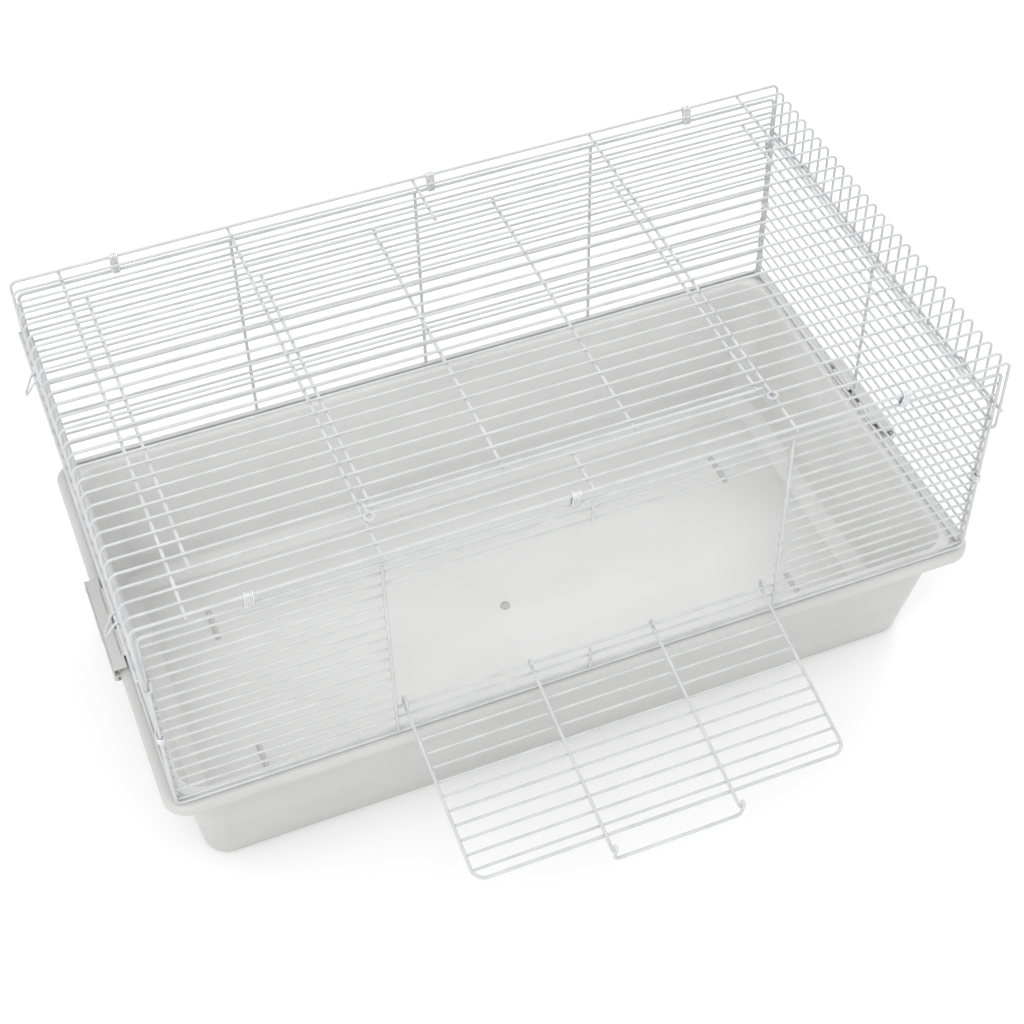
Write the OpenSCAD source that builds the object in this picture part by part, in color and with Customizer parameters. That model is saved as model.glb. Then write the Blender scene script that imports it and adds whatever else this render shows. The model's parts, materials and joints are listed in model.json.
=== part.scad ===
// Wire rabbit cage: a deep plastic tray carries a cage of welded wire panels.
// The front door drops outwards on four wire hooks, the roof hatch lifts on two,
// and a plastic clip at each end of the tray holds the wire part down.
// Millimetres, +Z up, long side along X, door side towards -Y.
// The origin is the centre of the face that the tray stands on.

/* [Tray] */
// Outer length of the tray rim
tray_length = 950; // [930:5:980]
// Outer width of the tray rim
tray_width = 540; // [530:5:560]
// Height of the tray from its foot to the top of the rim
tray_height = 185; // [160:5:200]
// Thickness of the tray walls and floor
tray_wall = 3; // [2.5:0.5:4]
// How far the long walls lean in from the rim to the foot
wall_lean = 34; // [20:2:40]
// How far the end walls lean in from the rim to the foot
end_lean = 17; // [10:1:34]
// Width of the flat rim
rim_width = 23; // [22:1:26]
// Depth of the lip that turns down at the outer edge of the rim
rim_lip = 12; // [8:1:16]
// Corner radius of the rim, seen from above
rim_corner = 28; // [24:2:36]

/* [Wires] */
// Diameter of the thin mesh wires
mesh_wire = 3; // [2.8:0.1:3.1]
// Diameter of the border, upright and hinge wires
frame_wire = 3.8; // [3.6:0.1:3.9]
// Height of the top of the wire part above the tray rim
wire_height = 290; // [273.25:16.75:306.75]
// Spacing of the level wires in the upright panels
row_pitch = 16.75; // [16.65:0.05:16.85]
// Spacing of the long wires in the roof
roof_pitch = 19; // [18.6:0.1:19]

/* [Front door] */
// Half width of the doorway, between its two uprights
doorway_half = 220.5; // [200:0.5:230]
// Side clearance between the door and the doorway uprights
door_side_gap = 12; // [10:1:16]
// Half distance between the two inner wires of the door and of the hatch
inner_wire_x = 71; // [60:1:80]
// How far the door is open, from upright
door_open = 101.2; // [0:0.1:101.2]

/* [Roof hatch] */
// How far the hatch is lifted
hatch_open = 0; // [0:5:110]

/* [Hidden] */
$fn = 32;
weld = 0.08;
hook_gap = 0.35;
body_gap = 0.1;

mesh_r = mesh_wire / 2;
frame_r = frame_wire / 2;
cross_step = mesh_r + frame_r - weld;
hinge_step = 2 * frame_r - weld;

// Heights of the tray rim and of the wire part on it
rim_z = tray_height;
wire_z = rim_z + wire_height;
foot_z = rim_z + frame_r;

// Upright panels: planes of their border wires
side_y = tray_width / 2 - 10;
end_x = tray_length / 2 - 13;
end_half_y = side_y - 7;
row_y = side_y - cross_step;
row_x = end_x - cross_step;
first_row = 5.5;
last_row = round((wire_height - 22) / row_pitch);
sill_row = 2;
header_row = last_row - 2;
function row_z(k) = rim_z + first_row + k * row_pitch;
panel_top = row_z(last_row);

// Roof: long wires and the parts that turn down at both ends
roof_half_count = 13;
roof_edge_y = side_y + 3.2;
flange_x = end_x + 5;
flange_bottom = wire_z - 76;
flange_bend = 8;
flange_tie_z = flange_bottom + 4;
end_top = flange_bottom + 8;
hinge_row = roof_half_count - 3;
front_row = -(roof_half_count - 2);
roof_cross_z = wire_z - cross_step;
function roof_y(k) = k * roof_pitch;
outer_cross_x = 413;
short_cross_x = 394;
short_cross_half = roof_y(roof_half_count - 2) + mesh_r;
edge_r = 1.7;
edge_z = roof_cross_z + frame_r + edge_r - weld;
edge_hook_r = 4;
edge_hook_z = wire_z - 90;

// Front door, drawn upright with its hinge wire at the origin
door_hinge_y = -(side_y - hinge_step);
door_hinge_z = row_z(sill_row);
hook_r = 2 * frame_r + hook_gap;
door_half = doorway_half - door_side_gap;
door_first_bar = 40.5;
door_bar_count = header_row - sill_row - 2;
door_bar_pitch = 17;
door_reach = door_first_bar + (door_bar_count - 1) * door_bar_pitch + 11.5;
door_corner = 14;
door_bar_y = -hook_r - cross_step;
door_frame_y = -hook_r - hinge_step;
hook_sweep = 235;

// Wire that forms the two inner wires of the door, its catches and its handle
catch_bend = 3;
catch_turn = 2;
catch_z = panel_top - door_hinge_z - 2 * frame_r - 2 * catch_turn - 0.9;
catch_depth = 17.5;
handle_y = -hook_r - 10;
handle_corner = 7;
door_wire_shift = 4;

// Roof hatch, drawn about its own hinge wire
hatch_hinge_y = roof_y(hinge_row);
hatch_hinge_z = roof_cross_z + frame_r + frame_r - weld;
hatch_bar_z = wire_z + weld + body_gap;
hatch_cross_z = hatch_bar_z - cross_step;
hatch_half = doorway_half - 1;
hatch_side_x = doorway_half - 11.5;
hatch_front_y = roof_y(front_row) + 9;

// Clips at the ends of the tray
clip_half = 62;
clip_pivot_x = tray_length / 2 + 4;
clip_pivot_z = rim_z - 8;
clip_pin_r = 2;
clip_nose = clip_pivot_x - end_x + 1;
clip_barrel_r = 3.4;
clip_nose_low = foot_z + frame_r + 0.3 - clip_pivot_z;
clip_nose_thick = 2.2;

// ---- shapes shared by several parts ----

// Straight wire along X, Y or Z
module wire_x(x0, x1, y, z, r) {
  translate([x0, y, z]) rotate([0, 90, 0]) cylinder(r = r, h = x1 - x0);
}

module wire_y(y0, y1, x, z, r) {
  translate([x, y1, z]) rotate([90, 0, 0]) cylinder(r = r, h = y1 - y0);
}

module wire_z(z0, z1, x, y, r) {
  translate([x, y, z0]) cylinder(r = r, h = z1 - z0);
}

// Part of a ring of wire about the Z axis
module ring_arc(ring_r, r, sweep) {
  rotate_extrude(angle = sweep) translate([ring_r, 0]) circle(r = r);
}

// Part of a ring about the X axis, with angles counted from +Y towards +Z
module arc_yz(ring_r, r, start, sweep) {
  rotate([90, 0, 90]) rotate([0, 0, start]) ring_arc(ring_r, r, sweep);
}

// Part of a ring in the XZ plane, with angles counted from +X towards +Z
module arc_xz(ring_r, r, start, sweep) {
  rotate([90, 0, 0]) rotate([0, 0, start]) ring_arc(ring_r, r, sweep);
}

// Straight wire between any two points
module link(p, q, r) {
  d = q - p;
  translate(p) rotate([0, acos(d.z / norm(d)), atan2(d.y, d.x)]) cylinder(r = r, h = norm(d));
}

// Rounded rectangle as plain shapes, so that its corners stay true arcs
module rounded_plate(length, width, corner) {
  square([length - 2 * corner, width], center = true);
  square([length, width - 2 * corner], center = true);
  for (sx = [-1, 1], sy = [-1, 1])
    translate([sx * (length / 2 - corner), sy * (width / 2 - corner)]) circle(r = corner, $fn = 48);
}

// Closed border of one wire with rounded corners, lying in the XY plane
module wire_border(half_a, half_b, corner, r) {
  for (s = [-1, 1]) {
    wire_x(-half_a + corner, half_a - corner, s * half_b, 0, r);
    wire_y(-half_b + corner, half_b - corner, s * half_a, 0, r);
  }
  for (q = [0 : 3])
    rotate([0, 0, 90 * q])
      translate([(q % 2 == 0 ? half_a : half_b) - corner, (q % 2 == 0 ? half_b : half_a) - corner, 0])
        ring_arc(corner, r, 90);
}

// Stadium-shaped band that ties two wires, one at the origin and one further along Y
module tie_band(reach, inner_r, outer_r, width) {
  translate([0, 0, -width / 2]) linear_extrude(height = width) difference() {
    union() {
      circle(r = outer_r);
      translate([0, reach]) circle(r = outer_r);
      translate([-outer_r, 0]) square([2 * outer_r, reach]);
    }
    union() {
      circle(r = inner_r);
      translate([0, reach]) circle(r = inner_r);
      translate([-inner_r, 0]) square([2 * inner_r, reach]);
    }
  }
}

// ---- tray ----

cavity_length = tray_length - 2 * rim_width;
cavity_width = tray_width - 2 * rim_width;

// Flaring block between the foot and the rim
module tray_block(shrink, floor_z, top_z) {
  hull() {
    translate([0, 0, floor_z]) linear_extrude(height = 0.1)
      rounded_plate(cavity_length - 2 * end_lean - 2 * shrink - 16,
                    cavity_width - 2 * wall_lean - 2 * shrink - 16, rim_corner - 8);
    translate([0, 0, floor_z + 8]) linear_extrude(height = 0.1)
      rounded_plate(cavity_length - 2 * end_lean - 2 * shrink,
                    cavity_width - 2 * wall_lean - 2 * shrink, rim_corner);
    translate([0, 0, top_z]) linear_extrude(height = 0.1)
      rounded_plate(cavity_length - 2 * shrink, cavity_width - 2 * shrink, rim_corner);
  }
}

// Outer face of the long walls at a given height, and how far they lean
function wall_face_y(z) = cavity_width / 2 - wall_lean + tray_wall + wall_lean * (z - 8) / wall_rise;
wall_rise = tray_height - tray_wall - 8;
wall_angle = atan(wall_lean / wall_rise);
recess_depth = 1.2;

// Shallow rounded panel sunk into the front and back walls
module wall_recess() {
  middle_z = tray_height * 0.5;
  for (turn = [0, 180])
    rotate([0, 0, turn]) translate([0, -wall_face_y(middle_z), middle_z])
      rotate([90 + wall_angle, 0, 0]) translate([0, 0, -recess_depth])
        linear_extrude(height = 5) rounded_plate(cavity_length - 80, tray_height * 0.6, 16);
}

module tray() {
  color([0.80, 0.80, 0.79]) {
    difference() {
      union() {
        tray_block(-tray_wall, 0, tray_height - tray_wall);
        translate([0, 0, rim_z - rim_lip]) linear_extrude(height = rim_lip)
          rounded_plate(tray_length, tray_width, rim_corner);
      }
      tray_block(0, tray_wall, tray_height + 1);
      wall_recess();
      difference() {
        translate([0, 0, rim_z - rim_lip - 1]) linear_extrude(height = rim_lip - tray_wall + 1)
          rounded_plate(tray_length - 2 * tray_wall, tray_width - 2 * tray_wall, rim_corner - tray_wall);
        translate([0, 0, rim_z - rim_lip - 2]) linear_extrude(height = rim_lip + 2)
          rounded_plate(cavity_length + 2 * tray_wall, cavity_width + 2 * tray_wall, rim_corner + tray_wall);
      }
    }
    // boss where the moulding was filled, and four ribs on the floor
    translate([0, 0, tray_wall - 0.5]) cylinder(r = 6, h = 2.5);
    for (sx = [-1, 1], sy = [-1, 1])
      translate([sx * 344 - 3, sy * 108 - 24, tray_wall - 0.5]) cube([6, 48, 3.5]);
  }
}

// ---- clips that hold the wire part down ----

module clip_lugs(side) {
  color([0.80, 0.80, 0.79])
  for (s = [-1, 1])
    translate([side * clip_pivot_x, s * (clip_half + 5), clip_pivot_z]) difference() {
      union() {
        rotate([90, 0, 0]) cylinder(r = 3.9, h = 6, center = true);
        translate([side > 0 ? -4 : 0, -3, -3.9]) cube([4, 6, 7.8]);
      }
      rotate([90, 0, 0]) cylinder(r = clip_pin_r + 0.08, h = 8, center = true);
    }
}

module tray_clip(side) {
  color([0.72, 0.72, 0.72])
  translate([side * clip_pivot_x, 0, clip_pivot_z]) mirror([side > 0 ? 0 : 1, 0, 0]) {
    rotate([90, 0, 0]) cylinder(r = clip_pin_r, h = 2 * clip_half + 14, center = true);
    rotate([90, 0, 0]) cylinder(r = clip_barrel_r, h = 2 * clip_half, center = true);
    translate([0.4, -clip_half, 0])
      cube([3, 2 * clip_half, clip_nose_low + clip_nose_thick]);
    // two noses over the lowest wire, one on each side of the middle upright
    for (s = [-1, 1])
      translate([-clip_nose, s * 32 - 20, clip_nose_low]) cube([clip_nose + 1, 40, clip_nose_thick]);
  }
}

// ---- upright panels ----

// Border of a front or back panel
module long_border(side) {
  translate([0, side * side_y, (panel_top + foot_z) / 2]) rotate([90, 0, 0])
    wire_border(end_x, (panel_top - foot_z) / 2, 7, frame_r);
}

module long_row(side, k, x0, x1) {
  wire_x(x0, x1, side * row_y, row_z(k), mesh_r);
}

module front_border() {
  color([0.82, 0.83, 0.84]) long_border(-1);
}

module front_bars() {
  row_end = end_x - 0.6;
  color([0.82, 0.83, 0.84])
  for (k = [0 : last_row - 1])
    if (k < sill_row || k >= header_row) {
      long_row(-1, k, -row_end, row_end);
    } else {
      long_row(-1, k, -row_end, -doorway_half + frame_r);
      long_row(-1, k, doorway_half - frame_r, row_end);
    }
}

module front_uprights() {
  color([0.82, 0.83, 0.84]) {
    for (s = [-1, 1])
      wire_z(foot_z + frame_r - weld, panel_top - frame_r + weld, s * doorway_half, -side_y, frame_r);
    wire_z(row_z(header_row) - mesh_r, panel_top - frame_r + weld, 0, -side_y, frame_r);
    wire_z(foot_z + frame_r - weld, row_z(sill_row) + mesh_r, 0, -side_y, frame_r);
  }
}

module door_hinge_wire() {
  color([0.82, 0.83, 0.84])
    wire_x(-doorway_half + frame_r + 0.2, doorway_half - frame_r - 0.2, door_hinge_y, door_hinge_z, frame_r);
}

module back_border() {
  color([0.82, 0.83, 0.84]) long_border(1);
}

module back_bars() {
  row_end = end_x - 0.6;
  color([0.82, 0.83, 0.84])
  for (k = [0 : last_row - 1]) long_row(1, k, -row_end, row_end);
}

module back_uprights() {
  color([0.82, 0.83, 0.84])
  for (x = [-doorway_half, 0, doorway_half])
    wire_z(foot_z + frame_r - weld, panel_top - frame_r + weld, x, side_y, frame_r);
}

module end_border(side) {
  color([0.82, 0.83, 0.84])
  translate([side * end_x, 0, (end_top + foot_z) / 2]) rotate([90, 0, 90])
    wire_border(end_half_y, (end_top - foot_z) / 2, 7, frame_r);
}

module end_bars(side) {
  end_last = floor((end_top - rim_z - first_row - 4) / row_pitch);
  color([0.82, 0.83, 0.84])
  for (k = [0 : end_last])
    wire_y(-end_half_y - 0.6, end_half_y + 0.6, side * row_x, row_z(k), mesh_r);
}

module end_upright(side) {
  color([0.82, 0.83, 0.84])
    wire_z(foot_z + frame_r - weld, end_top - frame_r + weld, side * end_x, 0, frame_r);
}

// ---- roof ----

// One end of a long roof wire, turned down over the end panel
module turned_end(side, inner_x, y, z, r, bottom) {
  mirror([side > 0 ? 0 : 1, 0, 0]) {
    wire_x(inner_x, flange_x - flange_bend, y, z, r);
    translate([flange_x - flange_bend, y, z - flange_bend]) arc_xz(flange_bend, r, 0, 90);
    wire_z(bottom, z - flange_bend, flange_x, y, r);
  }
}

module roof_edge_wires() {
  color([0.82, 0.83, 0.84])
  for (sy = [-1, 1], sx = [-1, 1]) {
    turned_end(sx, 0, sy * roof_edge_y, edge_z, edge_r, edge_hook_z);
    mirror([sx > 0 ? 0 : 1, 0, 0]) {
      translate([flange_x - edge_hook_r, sy * roof_edge_y, edge_hook_z])
        arc_xz(edge_hook_r, edge_r, 180, 180);
      wire_z(edge_hook_z, edge_hook_z + 9, flange_x - 2 * edge_hook_r, sy * roof_edge_y, edge_r);
    }
  }
}

module roof_bars() {
  color([0.82, 0.83, 0.84])
  for (k = [-roof_half_count : roof_half_count], side = [-1, 1]) {
    across = k > hinge_row || k <= front_row;
    turned_end(side, across ? 0 : doorway_half + 0.7, roof_y(k), wire_z, mesh_r, flange_bottom);
  }
}

module roof_cross_wires() {
  edge_reach = roof_edge_y + 1.6;
  color([0.82, 0.83, 0.84]) {
    for (x = [-outer_cross_x, -doorway_half, doorway_half, outer_cross_x])
      wire_y(-edge_reach, edge_reach, x, roof_cross_z, frame_r);
    for (x = [-short_cross_x, short_cross_x])
      wire_y(-short_cross_half, short_cross_half, x, roof_cross_z, frame_r);
    wire_y(roof_y(hinge_row) - frame_r, edge_reach, 0, roof_cross_z, frame_r);
    wire_y(-edge_reach, roof_y(front_row) + mesh_r, 0, roof_cross_z, frame_r);
  }
}

module roof_end_ties() {
  color([0.82, 0.83, 0.84])
  for (side = [-1, 1])
    wire_y(-roof_edge_y - 1, roof_edge_y + 1, side * (flange_x + cross_step), flange_tie_z, frame_r);
}

module hatch_hinge_wire() {
  color([0.82, 0.83, 0.84])
    wire_x(-doorway_half - 0.6, doorway_half + 0.6, hatch_hinge_y, hatch_hinge_z, frame_r);
}

// Spring clips that tie the roof edge wires to the front and back panels
module roof_clips() {
  rise = edge_z - panel_top;
  tilt = atan((roof_edge_y - side_y) / rise);
  span = rise / cos(tilt);
  slack = 0.1;
  bite = 0.04;
  inner_r = frame_r + slack;
  color([0.55, 0.56, 0.57])
  for (side = [-1, 1], x = [-352, side * 20, 345])
    translate([x, side * side_y, panel_top]) rotate([-side * tilt, 0, 0])
      translate([0, 0, slack + bite]) rotate([90, 0, 90])
        tie_band(span - 2 * slack - 2 * bite - (frame_r - edge_r), inner_r, inner_r + 2, 9);
}

// Spring clips that tie each end panel to the front and back panels
module corner_clips() {
  slack = 0.1;
  bite = 0.02;
  inner_r = frame_r + slack;
  color([0.55, 0.56, 0.57])
  for (sx = [-1, 1], sy = [-1, 1])
    mirror([sx > 0 ? 0 : 1, 0, 0]) mirror([0, sy > 0 ? 0 : 1, 0])
      translate([end_x, end_half_y + slack + bite, row_z(6) + row_pitch / 2])
        tie_band(side_y - end_half_y - 2 * slack - 2 * bite, inner_r, inner_r + 2, 9);
}

// V-shaped finger loops that hang from the tie wires at both roof ends
module end_clips() {
  loop_r = 1.3;
  reach = 10;
  drop = 18;
  arm_gap = 6;
  touch = (frame_r + loop_r - 0.06) * norm([reach, drop]) / drop;
  tie_x = flange_x + cross_step;
  color([0.82, 0.83, 0.84])
  for (side = [-1, 1], y = [-182, 182])
    mirror([side > 0 ? 0 : 1, 0, 0])
      for (arm = [-1, 1])
        link([tie_x + touch + reach, y, flange_tie_z - drop],
             [tie_x + touch - 0.12 * reach, y + 1.12 * arm * arm_gap, flange_tie_z + 0.12 * drop], loop_r);
}

// ---- roof hatch ----

// Turns the hatch about its hinge wire
module hatch_pose() {
  translate([0, hatch_hinge_y, hatch_hinge_z]) rotate([-hatch_open, 0, 0])
    translate([0, -hatch_hinge_y, -hatch_hinge_z]) children();
}

module hatch_border() {
  color([0.82, 0.83, 0.84]) hatch_pose()
    wire_x(-hatch_half, hatch_half, hatch_front_y, hatch_cross_z + hinge_step, frame_r);
}

module hatch_bars() {
  color([0.82, 0.83, 0.84]) hatch_pose()
  for (k = [front_row + 1 : hinge_row - 1])
    wire_x(-hatch_half, hatch_half, roof_y(k), hatch_bar_z, mesh_r);
}

module hatch_side_wires() {
  back_y = roof_y(hinge_row - 1) + 3;
  color([0.82, 0.83, 0.84]) hatch_pose()
  for (s = [-1, 1])
    wire_y(hatch_front_y - frame_r, back_y, s * hatch_side_x, hatch_cross_z, frame_r);
}

module hatch_hinge_hooks() {
  drop = hatch_hinge_z - hatch_cross_z;
  meet = asin(drop / hook_r);
  color([0.82, 0.83, 0.84]) hatch_pose()
  for (x = [-inner_wire_x, inner_wire_x]) {
    wire_y(hatch_front_y - frame_r, hatch_hinge_y - hook_r * cos(meet) + 0.3, x, hatch_cross_z, frame_r);
    translate([x, hatch_hinge_y, hatch_hinge_z]) arc_yz(hook_r, frame_r, 180 + meet, hook_sweep - meet);
  }
}

// Two finger loops at the front corners, which also keep the hatch from dropping through
module hatch_loops() {
  loop_r = 1.4;
  ring_r = 5;
  loop_y = hatch_front_y - 16;
  color([0.82, 0.83, 0.84]) hatch_pose()
  for (s = [-1, 1])
    translate([s * (hatch_half - 3), 0, hatch_cross_z + hinge_step + frame_r + loop_r - weld]) {
      wire_y(loop_y + ring_r - 0.3, hatch_front_y + frame_r, 0, 0, loop_r);
      translate([0, loop_y, 0]) ring_arc(ring_r, loop_r, 360);
    }
}

// ---- front door ----

// Places the upright door at its hinge wire and swings it outwards
module door_pose() {
  translate([0, door_hinge_y, door_hinge_z]) rotate([door_open, 0, 0]) children();
}

module door_frame() {
  color([0.82, 0.83, 0.84]) door_pose() translate([0, door_frame_y, 0]) {
    for (s = [-1, 1]) {
      wire_z(0, door_reach - door_corner, s * door_half, 0, frame_r);
      mirror([s > 0 ? 0 : 1, 0, 0])
        translate([door_half - door_corner, 0, door_reach - door_corner])
          arc_xz(door_corner, frame_r, 0, 90);
    }
    wire_x(-door_half + door_corner, door_half - door_corner, 0, door_reach, frame_r);
  }
}

module door_bars() {
  bar_end = door_half - frame_r + 0.05;
  color([0.82, 0.83, 0.84]) door_pose()
  for (k = [0 : door_bar_count - 1])
    wire_x(-bar_end, bar_end, door_bar_y, door_first_bar + k * door_bar_pitch, mesh_r);
}

// Four hooks on the hinge wire: two loose ones end the frame, two close ones end the inner wires
module door_hooks() {
  color([0.82, 0.83, 0.84]) door_pose()
  for (s = [-1, 1]) {
    translate([s * door_half, 0, 0]) arc_yz(-door_frame_y, frame_r, 180, hook_sweep);
    translate([s * inner_wire_x + door_wire_shift, 0, 0]) arc_yz(hook_r, frame_r, 180, hook_sweep);
  }
}

// One long wire: up each side as an inner wire, inwards and back as a catch, then the handle
module door_latch_wire() {
  top_z = catch_z + 2 * catch_turn;
  turn_y = -hook_r + catch_depth - catch_turn;
  color([0.82, 0.83, 0.84]) door_pose() translate([door_wire_shift, 0, 0]) {
    for (s = [-1, 1]) mirror([s > 0 ? 0 : 1, 0, 0]) translate([inner_wire_x, 0, 0]) {
      wire_z(0, catch_z - catch_bend, 0, -hook_r, frame_r);
      translate([0, -hook_r + catch_bend, catch_z - catch_bend]) arc_yz(catch_bend, frame_r, 90, 90);
      wire_y(-hook_r + catch_bend, turn_y, 0, catch_z, frame_r);
      translate([0, turn_y, catch_z + catch_turn]) arc_yz(catch_turn, frame_r, -90, 180);
      wire_y(handle_y + handle_corner, turn_y, 0, top_z, frame_r);
      translate([-handle_corner, handle_y + handle_corner, top_z])
        rotate([0, 0, -90]) ring_arc(handle_corner, frame_r, 90);
    }
    wire_x(-inner_wire_x + handle_corner, inner_wire_x - handle_corner, handle_y, top_z, frame_r);
  }
}

tray();
clip_lugs(-1);  // clip_lugs_left
clip_lugs(1);  // clip_lugs_right
tray_clip(-1);  // tray_clip_left
tray_clip(1);  // tray_clip_right
front_border();
front_bars();
front_uprights();
door_hinge_wire();
back_border();
back_bars();
back_uprights();
end_border(-1);  // left_border
end_bars(-1);  // left_bars
end_upright(-1);  // left_upright
end_border(1);  // right_border
end_bars(1);  // right_bars
end_upright(1);  // right_upright
roof_edge_wires();
roof_bars();
roof_cross_wires();
roof_end_ties();
hatch_hinge_wire();
roof_clips();
corner_clips();
end_clips();
hatch_border();
hatch_bars();
hatch_side_wires();
hatch_hinge_hooks();
hatch_loops();
door_frame();
door_bars();
door_hooks();
door_latch_wire();
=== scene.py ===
"""Looks of the wire rabbit cage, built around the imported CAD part.

Every wire is drawn again as one smooth formed wire along the line that its CAD solid gives,
and the tray, its clips and the spring clips get the detail of the moulded and coiled originals.
Metres, in the frame of the CAD part: +Z up, long side along X, door side towards -Y.
"""

import json
import math

import bmesh
import bpy
import numpy as np
from mathutils import Matrix, Vector


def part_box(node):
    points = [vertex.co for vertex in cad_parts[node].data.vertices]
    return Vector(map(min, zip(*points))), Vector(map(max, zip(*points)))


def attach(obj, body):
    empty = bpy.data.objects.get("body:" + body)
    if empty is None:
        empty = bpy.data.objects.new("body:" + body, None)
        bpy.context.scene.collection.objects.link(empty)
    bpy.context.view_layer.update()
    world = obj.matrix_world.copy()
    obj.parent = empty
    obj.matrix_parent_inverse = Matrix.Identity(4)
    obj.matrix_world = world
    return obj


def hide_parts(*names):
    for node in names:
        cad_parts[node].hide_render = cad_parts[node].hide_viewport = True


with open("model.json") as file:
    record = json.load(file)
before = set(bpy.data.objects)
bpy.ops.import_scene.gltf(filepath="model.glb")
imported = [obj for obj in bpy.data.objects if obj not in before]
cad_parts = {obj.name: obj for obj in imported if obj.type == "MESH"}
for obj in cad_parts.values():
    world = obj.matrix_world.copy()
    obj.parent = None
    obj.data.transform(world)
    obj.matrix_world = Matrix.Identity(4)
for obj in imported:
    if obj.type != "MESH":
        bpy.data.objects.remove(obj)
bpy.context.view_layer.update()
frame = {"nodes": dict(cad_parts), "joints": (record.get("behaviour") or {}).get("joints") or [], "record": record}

MM = 0.001

# Wires: bend radii and the sizes that the CAD boxes don't give
WIRE_SIDES = 14
BORDER_CORNER = 7 * MM
ROOF_BEND = 8 * MM
EDGE_HOOK_RADIUS = 4 * MM
EDGE_HOOK_RISE = 9 * MM
DOOR_CORNER = 14 * MM
LEG_START = 2 * MM
CATCH_TURN = 2 * MM
CATCH_BEND = 3 * MM
HANDLE_CORNER = 7 * MM
HOOK_SWEEP = 235
END_CLIP_R = 1.3 * MM
END_CLIP_TIP = 2.4 * MM
LOOP_R = 1.4 * MM
LOOP_SWEEP = 345
COIL_R = 1 * MM
COIL_GAP = 0.1 * MM
COIL_TURNS = 4.5

# Weld beads
SHORTEST_LENGTH = 6 * MM
WELD_REACH = 0.3 * MM
BEAD_SHARE = 0.92

# Tray
TRAY_WALL = 3 * MM
RIM_WIDTH = 23 * MM
RIM_LIP = 12 * MM
RIM_ROUND = 5 * MM
RIM_CORNER = 28 * MM
WALL_LEAN = 34 * MM
END_LEAN = 17 * MM
FOOT_ROUND = 8 * MM
FLOOR_CORNER = 14 * MM
BEVEL_TOP = 15 * MM
BEVEL_REACH = 20 * MM
FLOOR_SHARES = (0.9, 0.5, 0.2, 0.06)
WALL_ROWS = 40
COLUMNS_LONG = 220
COLUMNS_SHORT = 104
COLUMNS_CORNER = 12

# Sunken panels in the tray walls
RECESS_DEPTH = 1.3 * MM
RECESS_EDGE = 9 * MM
RECESS_FADE = 4 * MM
RECESS_CORNER = 16 * MM
LONG_MARGIN = 40 * MM
END_MARGIN = 62 * MM

# Ribs on the tray floor
RIB_X = 344 * MM
RIB_Y = 108 * MM
RIB_HALF = (3 * MM, 24 * MM)

# Clips on the tray ends
PIN_REACH = 7 * MM
LUG_MIDDLE = 5 * MM
LUG_HALF = 3 * MM
LUG_R = 3.9 * MM
NOSE_Y = 32 * MM
NOSE_HALF = 20 * MM
COVER_DEPTH = 2.2 * MM

record = frame["record"]
joints = {joint["name"]: joint for joint in frame["joints"]}
body_of = {node: body for body, nodes in record["behaviour"]["bodies"].items() for node in nodes}
slot_of = {part["node"]: part["material_slot"] for part in record["subparts"]}


# ---- reading the frame ----

def solids(node, place=Matrix()):
    """Boxes of the separate solids of a CAD node, in the axes of the given place."""
    mesh = frame["nodes"][node].data
    turn = np.array(place.inverted())
    points = np.array([v.co for v in mesh.vertices], float) @ turn[:3, :3].T + turn[:3, 3]
    _, index = np.unique(np.round(points, 6), axis=0, return_inverse=True)
    index = index.ravel()
    edges = np.zeros(len(mesh.edges) * 2, np.int32)
    mesh.edges.foreach_get("vertices", edges)
    edges = index[edges.reshape(-1, 2)]
    label = np.arange(index.max() + 1)
    while True:
        lowest = label.copy()
        np.minimum.at(lowest, edges[:, 0], label[edges[:, 1]])
        np.minimum.at(lowest, edges[:, 1], label[edges[:, 0]])
        lowest = lowest[lowest]
        if (lowest == label).all():
            break
        label = lowest
    boxes = []
    for value in np.unique(label):
        own = points[label[index] == value]
        boxes.append((Vector(own.min(0)), Vector(own.max(0))))
    return sorted(boxes, key=lambda b: tuple(round(c, 5) for c in (b[0] + b[1])))


def centre(box):
    return (box[0] + box[1]) / 2


# ---- lines for wires ----

def arc(middle, radius, start, sweep, steps=16):
    """Part of a ring about the X axis, with angles in degrees from +Y towards +Z."""
    points = []
    for i in range(steps + 1):
        a = math.radians(start + sweep * i / steps)
        points.append(middle + radius * Vector((0, math.cos(a), math.sin(a))))
    return points


def fillet(corners, radius, closed=False, steps=7):
    """A line through these corners, turned with one radius or with a list of one radius a corner."""
    count = len(corners)
    radii = radius if isinstance(radius, (list, tuple)) else [radius] * count
    path = []
    for i, corner in enumerate(corners):
        if not closed and i in (0, count - 1):
            path.append(Vector(corner))
            continue
        back = (corners[i - 1] - corner).normalized()
        ahead = (corners[(i + 1) % count] - corner).normalized()
        half = back.angle(ahead) / 2
        middle = corner + (back + ahead).normalized() * radii[i] / math.sin(half)
        first = corner + back * radii[i] / math.tan(half) - middle
        last = corner + ahead * radii[i] / math.tan(half) - middle
        turn = first.angle(last)
        for k in range(steps + 1):
            t = k / steps
            blend = (first * math.sin((1 - t) * turn) + last * math.sin(t * turn)) / math.sin(turn)
            path.append(middle + blend)
    distinct = [path[0]]
    for point in path[1:]:
        if (point - distinct[-1]).length > 1e-6:
            distinct.append(point)
    return distinct


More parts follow.
